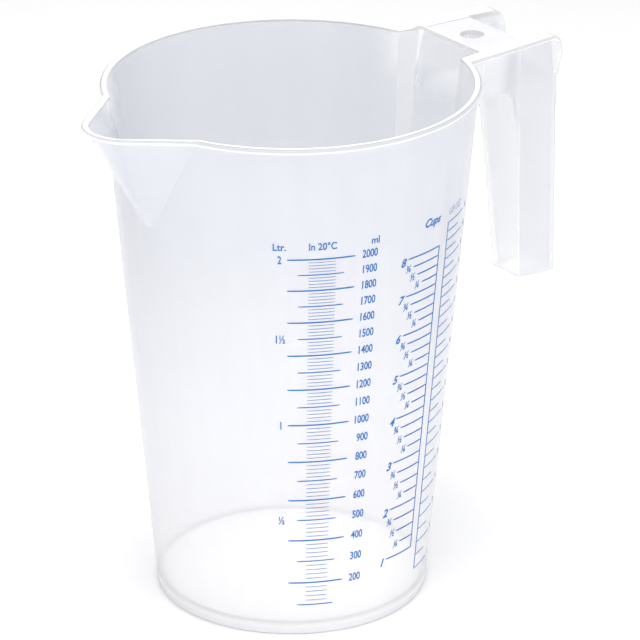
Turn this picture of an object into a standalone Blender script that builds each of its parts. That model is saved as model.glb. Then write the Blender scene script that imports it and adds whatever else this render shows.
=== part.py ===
"""Two-litre stackable measuring jug: a moulded vessel with a pouring lip, a hollow hanging handle,
and the printed litre, millilitre, cup and ounce scales.

The handle points along +X, the pouring lip along -X, and the jug stands on z = 0.
Outlines are worked out about the vessel's axis. The empty jug_axis then moves them all
along X, so that the origin is the middle of the footprint of the whole jug.
"""

import math

import bmesh
import bpy
from mathutils import Vector

# Vessel: a cone, measured on the outside of its wall.
RIM_Z = 0.2185
FOOT_RADIUS = 0.05553
TAPER = 0.0893
WALL = 0.0018
FLOOR_Z = 0.0031
FOOT_RECESS = 0.0012
FOOT_RING_WIDTH = 0.0032
BEAD_HEIGHT = 0.0022
BEAD_OVERHANG = 0.0012

# Pouring lip: its keel runs straight from its foot on the cone up to the rim, and its nose widens.
LIP_FOOT_Z = 0.1740
LIP_REACH = 0.0967
LIP_KEEL_SLOPE = 0.574
LIP_FOLD_SLOPE = 0.60
LIP_FOOT_HALF_WIDTH = 0.0050
LIP_FOOT_ROUNDING = 0.0015
LIP_NOSE_RADII = (0.0030, 0.0172)

# Bay: the flat-backed bulge of the wall that the handle grows from.
BAY_BACK = 0.0823
BAY_BACK_SLOPE = 0.14
BAY_HALF_WIDTH = 0.0221
BAY_WIDTH_SLOPE = 0.058
BAY_SIDE_DRAFT = 0.0011
BAY_FOOT_Z = 0.0550

# Handle: heights from its open bottom to the rim, with the distance of its front and back faces
# from the vessel's axis and its half widths there.
HANDLE_WALL = 0.0019
HANDLE_STATIONS = (
    # height, front face, half width in front, back face, half width at the back
    (0.1080, 0.1123, 0.0090, 0.1321, 0.0113),
    (0.1780, 0.1075, 0.0133, 0.1284, 0.0148),
    (0.1910, 0.1057, 0.0150, 0.1277, 0.0157),
    (0.2050, 0.1037, 0.0173, 0.1265, 0.0166),
    (RIM_Z, 0.1027, 0.0193, 0.1257, 0.0173),
)
HANDLE_BACK_ROUNDING = 0.0050
HANDLE_FRONT_ROUNDING = 0.0015
BACK_WALL_TOP_Z = 0.1980
SHOULDER_FOOT_Z = 0.1800
SHOULDER_HALF_WIDTH = 0.0221
SHOULDER_WIDTH_SLOPE = 0.080
ARCH_CENTRE = (0.0905, 0.1823)
ARCH_RADIUS = 0.0154
BRIDGE_DROP = 0.0006
DISH_INSET = 0.0030
BRIDGE_THICKNESS = 0.0020
HANG_HOLE_X = 0.0927
HANG_HOLE_RADIUS = 0.0050

# Flanges: the sides of the handle above its back wall, with a lip turned outwards along the top
# edge and down the free edge, where it narrows.
FLANGE_FREE_EDGE = (0.1247, 0.1225)
FLANGE_CORNER_RADIUS = 0.0065
FLANGE_LIP = 0.0054
FLANGE_LIP_THICKNESS = 0.0018
FLANGE_LIP_FOOT_Z = 0.1955
FLANGE_LIP_FULL_Z = 0.2100
FLANGE_STEP = 0.0003

# Printed scales. A bearing is an angle about the vessel's axis, from +X towards +Y.
INK_THICKNESS = 0.0002
INK_GAP = 0.0003
LINE_WIDTH = 0.00055
FINE_LINE_WIDTH = 0.00030
MILLILITRE = 1e-6
CUP = 236.588
OUNCE = 29.5735
LONG_MARK = (-128.2, -106.2)
MEDIUM_MARK = (-124.8, -109.8)
LITRE_NUMERAL_MIDDLE = -130.6
NUMERAL_HEIGHT = 0.0036
FONT_CAP_HEIGHT = 0.70
CUP_RULE = -70.3
CUP_MARK_STARTS = (-85.8, -78.7, -81.2, -83.3)
CUP_MARK_MIDDLE = -74.5
CUP_NUMERAL_MIDDLE = -88.0
CUP_NUMERAL_DROP = 0.0010
OUNCE_RULE = -65.5
OUNCE_MARK_MIDDLE = -61.0
OUNCE_MARK_ENDS = (-51.9, -56.9)

FIT_GAP = 0.0003
ARC_STEPS = 26
NOSE_STEPS = 6

HANDLE_REACH = HANDLE_STATIONS[0][3]
RIM_LIP_REACH = LIP_REACH + BEAD_OVERHANG
AXIS_X = (RIM_LIP_REACH - HANDLE_REACH) / 2


# ---------------------------------------------------------------- small helpers


def material(name, colour, roughness, alpha=1.0):
    made = bpy.data.materials.new(name)
    made.use_nodes = True
    shader = made.node_tree.nodes["Principled BSDF"]
    shader.inputs["Base Color"].default_value = (*colour, 1.0)
    shader.inputs["Roughness"].default_value = roughness
    shader.inputs["Metallic"].default_value = 0.0
    shader.inputs["Alpha"].default_value = alpha
    return made


def add_object(name, mesh, look, axis, smooth_angle=30.0):
    mesh.shade_smooth()
    mesh.set_sharp_from_angle(angle=math.radians(smooth_angle))
    if look:
        mesh.materials.append(look)
    made = bpy.data.objects.new(name, mesh)
    bpy.context.scene.collection.objects.link(made)
    made.parent = axis
    return made


def lofted_mesh(name, rings):
    """A closed solid through rings of points, which all run the same way round."""
    bm = bmesh.new()
    loops = [[bm.verts.new(point) for point in ring] for ring in rings]
    count = len(loops[0])
    for below, above in zip(loops, loops[1:]):
        for i in range(count):
            j = (i + 1) % count
            bm.faces.new((below[i], below[j], above[j], above[i]))
    bm.faces.new(loops[-1])
    bm.faces.new(loops[0][::-1])
    bmesh.ops.recalc_face_normals(bm, faces=bm.faces)
    mesh = bpy.data.meshes.new(name)
    bm.to_mesh(mesh)
    bm.free()
    return mesh


def cutter(name, rings, axis):
    made = add_object(name, lofted_mesh(name, rings), None, axis)
    made.hide_render = True
    made.display_type = "WIRE"
    return made


def boolean(target, other, operation):
    step = target.modifiers.new(other.name, "BOOLEAN")
    step.operation = operation
    step.solver = "EXACT"
    step.object = other


def between(start, end, share):
    return start + (end - start) * share


def ring_at(points, z):
    return [(x, y, z) for x, y in points]


def mirrored(half):
    """Closes an outline whose first and last points lie on the XZ plane."""
    return half + [(x, -y) for x, y in reversed(half[1:-1])]


# ---------------------------------------------------------------- the vessel's outline


def wall_radius(z):
    return FOOT_RADIUS + TAPER * z


def bay_points(z, grow):
    """Back wall and side wall of the bay, from its middle out to the cone."""
    drop = RIM_Z - z
    radius = wall_radius(z) + grow
    side = BAY_HALF_WIDTH - BAY_WIDTH_SLOPE * drop + grow
    corner = side - BAY_SIDE_DRAFT
    back = BAY_BACK - BAY_BACK_SLOPE * drop + grow
    points = []
    for y in (0.0, corner * 0.33, corner * 0.66, corner):
        points.append((max(back, math.sqrt(radius**2 - y**2)), y))
    points.append((math.sqrt(radius**2 - side**2), side))
    return points


def lip_foot_points(radius):
    """The place of the pouring lip on the cone, below its foot."""
    start = math.pi - LIP_FOOT_HALF_WIDTH / radius
    angles = [between(start, math.pi, i / (NOSE_STEPS + 1)) for i in range(NOSE_STEPS + 2)]
    return [(radius * math.cos(a), radius * math.sin(a)) for a in angles]


def lip_points(z, grow):
    """One side of the pouring lip, from its fold on the cone round to its nose."""
    radius = wall_radius(z) + grow
    height = z - LIP_FOOT_Z
    if height < 0.0:
        return lip_foot_points(radius)
    nose = between(*LIP_NOSE_RADII, height / (RIM_Z - LIP_FOOT_Z))
    centre = LIP_REACH - LIP_KEEL_SLOPE * (RIM_Z - z) - nose
    fold_y = LIP_FOOT_HALF_WIDTH + LIP_FOLD_SLOPE * height
    fold_x = math.sqrt(wall_radius(z) ** 2 - fold_y**2)
    to_centre = math.hypot(centre - fold_x, fold_y)
    slant = math.atan2(fold_y, centre - fold_x) - math.asin(nose / to_centre)
    nose += grow
    touch = Vector((centre + nose * math.sin(slant), nose * math.cos(slant)))
    # From the touching point the side's line runs back until it meets the cone.
    along = Vector((math.cos(slant), -math.sin(slant)))
    dot = touch.dot(along)
    root = math.sqrt(dot**2 - touch.length_squared + radius**2)
    fold = touch - along * (dot - root if root < dot else dot + root)
    points = [(-fold.x, fold.y)]
    for i in range(NOSE_STEPS + 1):
        angle = between(math.pi / 2 - slant, 0.0, i / NOSE_STEPS)
        points.append((-(centre + nose * math.cos(angle)), nose * math.sin(angle)))
    return points


def vessel_outline(z, grow=0.0):
    """The vessel's outline at a height, moved outwards by grow."""
    bay = bay_points(z, grow)
    lip = lip_points(z, grow)
    radius = wall_radius(z) + grow
    start = math.atan2(bay[-1][1], bay[-1][0])
    end = math.atan2(lip[0][1], lip[0][0])
    angles = [between(start, end, i / ARC_STEPS) for i in range(1, ARC_STEPS)]
    arc = [(radius * math.cos(a), radius * math.sin(a)) for a in angles]
    return mirrored(bay + arc + lip)


def wall_heights(low):
    """Heights where the wall's slope or outline changes, from low up to below the rim bead."""
    lip = [LIP_FOOT_Z + share * (RIM_Z - LIP_FOOT_Z) for share in (0.0, 0.12, 0.3, 0.6)]
    changes = [BAY_FOOT_Z, BAY_FOOT_Z + 0.020, LIP_FOOT_Z - LIP_FOOT_ROUNDING] + lip
    return [low] + changes


def add_vessel(look, axis):
    """Foot ring, outer wall, rim bead, inner wall and floor, as one closed loft."""
    bead_z = RIM_Z - BEAD_HEIGHT
    path = [(FOOT_RECESS, -FOOT_RING_WIDTH), (0.0, -FOOT_RING_WIDTH)]
    path += [(z, 0.0) for z in wall_heights(0.0)]
    path += [(bead_z, 0.0), (bead_z, BEAD_OVERHANG), (RIM_Z, BEAD_OVERHANG)]
    path += [(z, -WALL) for z in [RIM_Z] + wall_heights(FLOOR_Z)[::-1]]
    rings = [ring_at(vessel_outline(z, grow), z) for z, grow in path]
    add_object("jug_vessel", lofted_mesh("jug_vessel", rings), look, axis)


def vessel_clearance(axis):
    """The vessel's outside grown by the fitting gap, which trims the handle's roots."""
    bead_z = RIM_Z - BEAD_HEIGHT
    heights = wall_heights(0.0)
    path = [(z, FIT_GAP) for z in heights + [bead_z - FIT_GAP]]
    path += [(bead_z - FIT_GAP, BEAD_OVERHANG + FIT_GAP), (RIM_Z + 0.005, BEAD_OVERHANG + FIT_GAP)]
    rings = [ring_at(vessel_outline(min(z, RIM_Z), grow), z) for z, grow in path]
    return cutter("vessel_clearance", rings, axis)


# ---------------------------------------------------------------- the handle


def handle_section(z):
    """Front face, half width there, back face and half width there, at a height."""
    for low, high in zip(HANDLE_STATIONS, HANDLE_STATIONS[1:]):
        if z <= high[0] or high is HANDLE_STATIONS[-1]:
            share = (z - low[0]) / (high[0] - low[0])
            return [between(a, b, share) for a, b in zip(low[1:], high[1:])]


def back_rounding(z):
    """The back corners are round up to the top of the back wall, and nearly sharp above it."""
    share = min(1.0, max(0.0, (z - BACK_WALL_TOP_Z) / 0.006))
    return between(HANDLE_BACK_ROUNDING, 0.0008, share)


def arm_outline(z, grow=0.0):
    front, front_half, back, back_half = handle_section(z)
    front, back = front - grow, back + grow
    front_half, back_half = front_half + grow, back_half + grow
    radius = max(0.0004, back_rounding(z) + grow)
    nick = HANDLE_FRONT_ROUNDING
    half = [(front, 0.0), (front, front_half - nick), (front + nick, front_half)]
    for i in range(NOSE_STEPS + 1):
        angle = between(math.pi / 2, 0.0, i / NOSE_STEPS)
        x = back - radius + radius * math.cos(angle)
        half.append((x, back_half - radius + radius * math.sin(angle)))
    return mirrored(half + [(back, 0.0)])


def shoulder_outline(z, inset, reach):
    """The box between bay and arm, whose sides are the flanges, ending reach inside the arm."""
    front, front_half = handle_section(z)[:2]
    root_half = SHOULDER_HALF_WIDTH - SHOULDER_WIDTH_SLOPE * (RIM_Z - z) - inset
    root = wall_radius(z) - 0.010 - inset
    end = front + reach
    return mirrored([(root, 0.0), (root, root_half), (end, front_half - inset), (end, 0.0)])


def extruded_sideways(profile, half_width):
    """Rings for a profile in X and Z that runs across the handle."""
    return [[(x, y, z) for x, z in profile] for y in (-half_width, half_width)]


def finger_gap_profile():
    """Below the arch, between the vessel and the arm's front face."""
    centre_x, centre_z = ARCH_CENTRE
    points = []
    for i in range(13):
        angle = between(math.radians(150), math.radians(30), i / 12)
        x = centre_x + ARCH_RADIUS * math.cos(angle)
        points.append((x, centre_z + ARCH_RADIUS * math.sin(angle)))
    low = SHOULDER_FOOT_Z - 0.004
    right = handle_section(low)[0] - 0.0001
    return [(0.045, low), (0.045, points[0][1])] + points + [(right, low)]


def flange_corner_profile():
    """What is cut off behind the flanges' free edges and round their top corners, from the side."""
    low_end, end = FLANGE_FREE_EDGE
    beyond = 0.012
    radius = FLANGE_CORNER_RADIUS
    foot = BACK_WALL_TOP_Z + FLANGE_STEP
    points = [(end - radius, RIM_Z + beyond)]
    for i in range(9):
        angle = between(math.pi / 2, 0.0, i / 8)
        x = end - radius + radius * math.cos(angle)
        points.append((x, RIM_Z - radius + radius * math.sin(angle)))
    return points + [(low_end, foot), (end + beyond, foot), (end + beyond, RIM_Z + beyond)]


def flange_face(x, z):
    """How far the outside of a flange is from the XZ plane, behind the arm's front face."""
    front, front_half, back, back_half = handle_section(z)
    return between(front_half, back_half, (x - front) / (back - front))


def flange_lip_rings(side):
    """The lip along one flange's top edge."""
    front, front_half = handle_section(RIM_Z)[:2]
    start, end = 0.0745, FLANGE_FREE_EDGE[1] + 0.0010
    root_half = SHOULDER_HALF_WIDTH + FLANGE_LIP
    end_half = flange_face(end, RIM_Z)
    outline = [
        (start, side * (root_half - FLANGE_LIP - 0.0020)),
        (start, side * root_half),
        (front, side * (front_half + FLANGE_LIP)),
        (end, side * (end_half + FLANGE_LIP)),
        (end, side * (end_half - 0.0010)),
        (front, side * (front_half - 0.0010)),
    ]
    return [ring_at(outline, RIM_Z - FLANGE_LIP_THICKNESS), ring_at(outline, RIM_Z)]


def free_edge_lip_rings(side):
    """The lip down one flange's free edge, a little long at the back, where the corner is cut."""
    foot = BACK_WALL_TOP_Z + FLANGE_STEP
    corner = RIM_Z - FLANGE_CORNER_RADIUS
    rings = []
    for z in (foot + 0.0001, FLANGE_LIP_FULL_Z, corner, RIM_Z - FLANGE_LIP_THICKNESS + 0.0005):
        edge = between(*FLANGE_FREE_EDGE, min(1.0, (z - foot) / (corner - foot)))
        width = FLANGE_LIP * min(1.0, (z - FLANGE_LIP_FOOT_Z) / (FLANGE_LIP_FULL_Z - FLANGE_LIP_FOOT_Z))
        front, back = edge - FLANGE_LIP_THICKNESS, edge + 0.0008
        face = flange_face(edge, z)
        outline = [(front, face - 0.0012), (back, face - 0.0012), (back, face + width), (front, face + width)]
        rings.append([(x, side * y, z) for x, y in outline])
    return rings


def circle(x, radius, z, count=24):
    angles = [2 * math.pi * (i + 0.5) / count for i in range(count)]
    return [(x + radius * math.cos(a), radius * math.sin(a), z) for a in angles]


def add_handle(look, axis):
    heights = [station[0] for station in HANDLE_STATIONS]
    heights = sorted(heights + [BACK_WALL_TOP_Z, BACK_WALL_TOP_Z + 0.006])
    arm = lofted_mesh("jug_handle", [ring_at(arm_outline(z), z) for z in heights])
    handle = add_object("jug_handle", arm, look, axis)

    top = RIM_Z + 0.004
    bottom = heights[0] - 0.004
    open_heights = [bottom] + heights[1:-1] + [top]
    hollow = cutter(
        "arm_hollow", [ring_at(arm_outline(z, -HANDLE_WALL), z) for z in open_heights], axis
    )
    shoulder_heights = [SHOULDER_FOOT_Z, heights[2], BACK_WALL_TOP_Z, 0.2050, RIM_Z]
    shoulder = cutter(
        "shoulder", [ring_at(shoulder_outline(z, 0.0, 0.001), z) for z in shoulder_heights], axis
    )
    bridge_z = RIM_Z - BRIDGE_DROP - BRIDGE_THICKNESS
    inner_heights = [SHOULDER_FOOT_Z - 0.004] + shoulder_heights[1:-1] + [bridge_z]
    inside = cutter(
        "shoulder_hollow",
        [ring_at(shoulder_outline(z, HANDLE_WALL, 0.0002), z) for z in inner_heights],
        axis,
    )
    dish_heights = [RIM_Z - BRIDGE_DROP, top]
    dish = cutter(
        "bridge_dish",
        [ring_at(shoulder_outline(min(z, RIM_Z), DISH_INSET, 0.004), z) for z in dish_heights],
        axis,
    )
    back_half = handle_section(BACK_WALL_TOP_Z)[3] - HANDLE_WALL
    slot = [(0.116, back_half), (0.135, back_half), (0.135, -back_half), (0.116, -back_half)]
    opening = cutter(
        "back_opening", [ring_at(slot, BACK_WALL_TOP_Z), ring_at(slot, top)], axis
    )
    gap = cutter("finger_gap", extruded_sideways(finger_gap_profile(), 0.030), axis)
    corner = cutter("flange_corner", extruded_sideways(flange_corner_profile(), 0.030), axis)
    hole = cutter("hang_hole", [circle(HANG_HOLE_X, HANG_HOLE_RADIUS, z) for z in (0.21, top)], axis)
    lips = []
    for place, side in (("near", -1), ("far", 1)):
        lips.append(cutter(f"flange_lip_{place}", flange_lip_rings(side), axis))
        lips.append(cutter(f"free_edge_lip_{place}", free_edge_lip_rings(side), axis))

    boolean(handle, shoulder, "UNION")
    for lip in lips:
        boolean(handle, lip, "UNION")
    for tool in (hollow, inside, dish, opening, gap, corner, vessel_clearance(axis), hole):
        boolean(handle, tool, "DIFFERENCE")


# ---------------------------------------------------------------- the printed scales


def height_of(millilitres):
    """Height of the surface of a volume, from the volume of the hollow cone."""
    floor_radius = wall_radius(FLOOR_Z) - WALL
    cube = floor_radius**3 + 3 * TAPER * millilitres * MILLILITRE / math.pi
    return FLOOR_Z + (cube ** (1 / 3) - floor_radius) / TAPER


def on_wall(bearing, z, depth):
    """A point on the outside of the wall, with depth 0 or 1 for the ink's inner or outer face."""
    radius = wall_radius(z) + INK_GAP + INK_THICKNESS * depth
    angle = math.radians(bearing)
    return (radius * math.cos(angle), radius * math.sin(angle), z)


def add_print(name, bearings, heights, inked, ink, axis):
    """One printed shape: the inked cells of a grid of bearings and heights, as a thin solid."""
    bm = bmesh.new()
    corners = {}

    def corner(column, row, depth):
        key = (column, row, depth)
        if key not in corners:
            corners[key] = bm.verts.new(on_wall(bearings[column], heights[row], depth))
        return corners[key]

    cells = [(c, r) for c in range(len(bearings) - 1) for r in range(len(heights) - 1) if inked(c, r)]
    for c, r in cells:
        around = ((c, r), (c + 1, r), (c + 1, r + 1), (c, r + 1))
        beyond = ((c, r - 1), (c + 1, r), (c, r + 1), (c - 1, r))
        for depth in (0, 1):
            bm.faces.new([corner(*spot, depth) for spot in around])
        for i in range(4):
            if beyond[i] not in cells:
                first, second = around[i], around[(i + 1) % 4]
                side = ((first, 0), (second, 0), (second, 1), (first, 1))
                bm.faces.new([corner(*spot, depth) for spot, depth in side])
    bmesh.ops.recalc_face_normals(bm, faces=bm.faces)
    mesh = bpy.data.meshes.new(name)
    bm.to_mesh(mesh)
    bm.free()
    add_object(name, mesh, ink, axis)


def line_edges(millilitres, width):
    z = height_of(millilitres)
    return [z - width / 2, z + width / 2]


def add_line(name, millilitres, start, end, steps, ink, axis):
    bearings = [between(start, end, i / steps) for i in range(steps + 1)]
    heights = line_edges(millilitres, LINE_WIDTH)
    add_print(name, bearings, heights, lambda column, row: True, ink, axis)


def glyph_mesh(text):
    """A numeral's outline, flat, with its depth from -0.5 to 0.5."""
    curve = bpy.data.curves.new(text, "FONT")
    curve.body = text
    curve.align_x = "CENTER"
    curve.resolution_u = 1
    curve.extrude = 0.5
    holder = bpy.data.objects.new(text, curve)
    bpy.context.scene.collection.objects.link(holder)
    bpy.context.view_layer.update()
    graph = bpy.context.evaluated_depsgraph_get()
    mesh = bpy.data.meshes.new_from_object(holder.evaluated_get(graph))
    bpy.data.objects.remove(holder)
    bpy.data.curves.remove(curve)
    return mesh


def add_numeral(name, text, bearing, middle, ink, axis):
    """One printed numeral, wrapped on the wall."""
    mesh = glyph_mesh(text)
    bm = bmesh.new()
    bm.from_mesh(mesh)
    bmesh.ops.remove_doubles(bm, verts=bm.verts, dist=1e-5)
    scale = NUMERAL_HEIGHT / FONT_CAP_HEIGHT
    for vert in bm.verts:
        z = middle + (vert.co.y - FONT_CAP_HEIGHT / 2) * scale
        turn = math.degrees(vert.co.x * scale / wall_radius(z))
        vert.co = on_wall(bearing + turn, z, vert.co.z + 0.5)
    bm.to_mesh(mesh)
    bm.free()
    mesh.name = name
    add_object(name, mesh, ink, axis)


def add_litre_scale(ink, axis):
    for ml in range(200, 2001, 200):
        add_line(f"ml_mark_{ml:04d}", ml, *LONG_MARK, 4, ink, axis)
    for ml in range(100, 2000, 200):
        add_line(f"ml_mark_{ml:04d}", ml, *MEDIUM_MARK, 3, ink, axis)
    for litres in (1, 2):
        middle = height_of(1000 * litres)
        add_numeral(f"litre_numeral_{litres}", str(litres), LITRE_NUMERAL_MIDDLE, middle, ink, axis)


def rule_edges(bearing, z):
    """Both edges of a line up the wall."""
    half_turn = math.degrees(LINE_WIDTH / 2 / wall_radius(z))
    return [bearing - half_turn, bearing + half_turn]


def add_cup_scale(ink, axis):
    """A comb: a mark for each quarter cup, longest at the whole cups, on an upright rule."""
    bearings = sorted(CUP_MARK_STARTS) + [CUP_MARK_MIDDLE] + rule_edges(CUP_RULE, height_of(4 * CUP))
    rule = len(bearings) - 2
    quarters = list(range(4, 33))
    heights = [z for q in quarters for z in line_edges(q * CUP / 4, LINE_WIDTH)]
    starts = [bearings.index(CUP_MARK_STARTS[q % 4]) for q in quarters]

    def inked(column, row):
        return column == rule or (row % 2 == 0 and column >= starts[row // 2])

    add_print("cup_scale", bearings, heights, inked, ink, axis)
    for cups in range(1, 9):
        middle = height_of(cups * CUP) - CUP_NUMERAL_DROP
        add_numeral(f"cup_numeral_{cups}", str(cups), CUP_NUMERAL_MIDDLE, middle, ink, axis)


def add_ounce_scale(ink, axis):
    """A comb like the cup scale's, with a mark every two ounces, alternately long and short."""
    edges = rule_edges(OUNCE_RULE, height_of(36 * OUNCE))
    bearings = edges + [OUNCE_MARK_MIDDLE] + sorted(OUNCE_MARK_ENDS)
    ounces = list(range(4, 69, 2))
    heights = [z for oz in ounces for z in line_edges(oz * OUNCE, FINE_LINE_WIDTH)]
    ends = [bearings.index(OUNCE_MARK_ENDS[oz // 2 % 2]) for oz in ounces]

    def inked(column, row):
        return column == 0 or (row % 2 == 0 and column < ends[row // 2])

    add_print("ounce_scale", bearings, heights, inked, ink, axis)


# ---------------------------------------------------------------- the whole jug


def main():
    for old in list(bpy.data.objects):
        bpy.data.objects.remove(old)
    axis = bpy.data.objects.new("jug_axis", None)
    bpy.context.scene.collection.objects.link(axis)
    axis.location = (AXIS_X, 0.0, 0.0)
    plastic = material("natural_polypropylene", (0.88, 0.90, 0.92), 0.35, 0.55)
    ink = material("blue_ink", (0.06, 0.27, 0.58), 0.5)
    add_vessel(plastic, axis)
    add_handle(plastic, axis)
    add_litre_scale(ink, axis)
    add_cup_scale(ink, axis)
    add_ounce_scale(ink, axis)


main()
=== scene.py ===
"""Looks of the two-litre measuring jug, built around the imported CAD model.

The jug is one moulding in natural polypropylene with printed blue scales. Outlines are worked out
about the vessel's axis (handle along +X, pouring lip along -X) and then moved along X, because the
row's origin is the middle of the footprint of the whole jug.
"""

import math
from collections import namedtuple

import bmesh
import bpy
from mathutils import Matrix, Vector


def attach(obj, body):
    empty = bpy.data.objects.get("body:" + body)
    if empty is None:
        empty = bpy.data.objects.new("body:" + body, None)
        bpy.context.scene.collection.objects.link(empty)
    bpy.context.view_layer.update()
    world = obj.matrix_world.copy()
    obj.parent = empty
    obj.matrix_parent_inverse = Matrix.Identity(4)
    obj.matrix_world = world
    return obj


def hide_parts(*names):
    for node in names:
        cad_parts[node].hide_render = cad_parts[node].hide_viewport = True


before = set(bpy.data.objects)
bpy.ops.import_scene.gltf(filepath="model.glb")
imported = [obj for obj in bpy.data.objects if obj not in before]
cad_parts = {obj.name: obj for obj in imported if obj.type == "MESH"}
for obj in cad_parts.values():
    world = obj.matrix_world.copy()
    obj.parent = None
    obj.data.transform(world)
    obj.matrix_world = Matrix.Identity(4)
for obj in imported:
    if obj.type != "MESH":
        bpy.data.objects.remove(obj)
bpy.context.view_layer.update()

# ---------------------------------------------------------------- sizes, in metres

RIM_Z = 0.2185
FOOT_RADIUS = 0.05553
TAPER = 0.0893
WALL = 0.0018
FLOOR_Z = 0.0031
FLOOR_FILLET = 0.0016
FOOT_RECESS = 0.0012
FOOT_ROUNDING = 0.0007
# Inside of the foot ring: height, and distance from the wall's outside.
FOOT_RING = ((FOOT_RECESS, -0.0042), (FOOT_RECESS, -0.0036), (0.0004, -0.0032), (0.0, -0.0027))
BEAD_OVERHANG = 0.0012
# Under the bead and over its top: depth below the rim, and distance from the wall's outside.
UNDER_BEAD = ((0.0030, 0.0), (0.0025, 0.0001))
OVER_BEAD = ((0.0, -0.0004), (0.0, -0.0010), (0.0002, -0.0014), (0.0005, -0.0017))
INSIDE_DROP = 0.0010
OUTER_WALL_FOOT_Z = 0.001
INNER_WALL_FOOT_Z = 0.006
WALL_TOP_Z = RIM_Z - 0.004

LIP_FOOT_Z = 0.1740
LIP_REACH = 0.0967
LIP_KEEL_SLOPE = 0.574
LIP_FOLD_SLOPE = 0.60
LIP_FOOT_HALF_WIDTH = 0.0050
LIP_NOSE_RADII = (0.0030, 0.0172)

BAY_BACK = 0.0823
BAY_BACK_SLOPE = 0.14
BAY_HALF_WIDTH = 0.0221
BAY_WIDTH_SLOPE = 0.058
BAY_SIDE_DRAFT = 0.0011
BAY_ROUNDING = 0.0012

HANDLE_WALL = 0.0019
HANDLE_STATIONS = (
    # height, front face, half width in front, back face, half width at the back
    (0.1080, 0.1123, 0.0090, 0.1321, 0.0113),
    (0.1780, 0.1075, 0.0133, 0.1284, 0.0148),
    (0.1910, 0.1057, 0.0150, 0.1277, 0.0157),
    (0.2050, 0.1037, 0.0173, 0.1265, 0.0166),
    (RIM_Z, 0.1027, 0.0193, 0.1257, 0.0173),
)
ARM_FRONT_ROUNDING = 0.0015
ARM_HOLLOW_ROUNDING = 0.0007
# The arm's back corners are round up to the back wall's top, and nearly sharp a little above it.
ARM_BACK_ROUNDINGS = (0.0050, 0.0008)
ARM_SHARPENING_HEIGHT = 0.006
SMALLEST_ROUNDING = 0.0004
BACK_WALL_TOP_Z = 0.1980
BACK_OPENING_X = (0.116, 0.135)
SHOULDER_FOOT_Z = 0.1800
SHOULDER_HALF_WIDTH = 0.0221
SHOULDER_WIDTH_SLOPE = 0.080
SHOULDER_ROOT_DEPTH = 0.010
ARCH_CENTRE = (0.0905, 0.1823)
ARCH_RADIUS = 0.0154
FINGER_GAP_DROP = 0.004
FINGER_GAP_START_X = 0.045
BRIDGE_DROP = 0.0006
DISH_INSET = 0.0030
BRIDGE_THICKNESS = 0.0020
HANG_HOLE_X = 0.0927
HANG_HOLE_RADIUS = 0.0050
FLANGE_FREE_EDGE = (0.1247, 0.1225)
FREE_EDGE_HEIGHTS = (0.2100, 0.2080, 0.2055, 0.2030, 0.2005)
FLANGE_CORNER_RADIUS = 0.0065
FLANGE_LIP = 0.0054
FLANGE_LIP_THICKNESS = 0.0018
FLANGE_LIP_FOOT_Z = 0.1955
FLANGE_LIP_FULL_Z = 0.2100
FLANGE_LIP_START_X = 0.0705
FLANGE_LIP_ROOT = 0.0012
FLANGE_LIP_ROUNDING = 0.0008
FLANGE_STEP = 0.0003

# Small steps that keep the faces of joined solids from lying in one plane.
SKIN_STEP = 0.00005
FOOT_STEP = 0.0002
FRONT_STEP = 0.0001
JOIN_DEPTH = 0.001
HOLLOW_REACH = 0.0002
BEYOND = 0.004
FAR_BEYOND = 0.012
CUTTER_HALF_WIDTH = 0.030

SMOOTH_ANGLE = 12.0

AXIS_X = (LIP_REACH + BEAD_OVERHANG - HANDLE_STATIONS[0][3]) / 2


def between(start, end, share):
    return start + (end - start) * share


def wall_radius(z):
    return FOOT_RADIUS + TAPER * z


# ---------------------------------------------------------------- mesh helpers


def new_object(name, bm, look, smooth_angle=SMOOTH_ANGLE):
    mesh = bpy.data.meshes.new(name)
    bm.to_mesh(mesh)
    bm.free()
    mesh.shade_smooth()
    mesh.set_sharp_from_angle(angle=math.radians(smooth_angle))
    if look:
        mesh.materials.append(look)
    made = bpy.data.objects.new(name, mesh)
    bpy.context.scene.collection.objects.link(made)
    return made


def loft(rings, closed_ends=True):
    """A closed solid through rings of points, which all run the same way round."""
    bm = bmesh.new()
    loops = [[bm.verts.new(point) for point in ring] for ring in rings]
    count = len(loops[0])
    for below, above in zip(loops, loops[1:]):
        for i in range(count):
            j = (i + 1) % count
            bm.faces.new((below[i], below[j], above[j], above[i]))
    if closed_ends:
        bm.faces.new(loops[-1])
        bm.faces.new(loops[0][::-1])
    bmesh.ops.recalc_face_normals(bm, faces=bm.faces)
    return bm


def combine(target, tools):
    """Booleans with (tool, operation) pairs, applied to the target's mesh."""
    for tool, operation in tools:
        step = target.modifiers.new(tool.name, "BOOLEAN")
        step.operation = operation
        step.solver = "EXACT"
        step.object = tool
        bpy.context.view_layer.update()
    graph = bpy.context.evaluated_depsgraph_get()
    mesh = bpy.data.meshes.new_from_object(target.evaluated_get(graph))
    target.modifiers.clear()
    mesh.shade_smooth()
    mesh.set_sharp_from_angle(angle=math.radians(SMOOTH_ANGLE))
    target.data = mesh
    for tool, operation in tools:
        bpy.data.objects.remove(tool)


def ring_at(points, z):
    return [(x, y, z) for x, y in points]


def mirrored(half):
    """Closes an outline whose first and last points lie on the XZ plane."""
    return half + [(x, -y) for x, y in reversed(half[1:-1])]


def arc_points(centre, radius, start, end, steps):
    """Points on an arc, with its angles in degrees."""
    angles = [math.radians(between(start, end, i / steps)) for i in range(steps + 1)]
    return [(centre[0] + radius * math.cos(a), centre[1] + radius * math.sin(a)) for a in angles]


# ---------------------------------------------------------------- the vessel's outline

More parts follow.
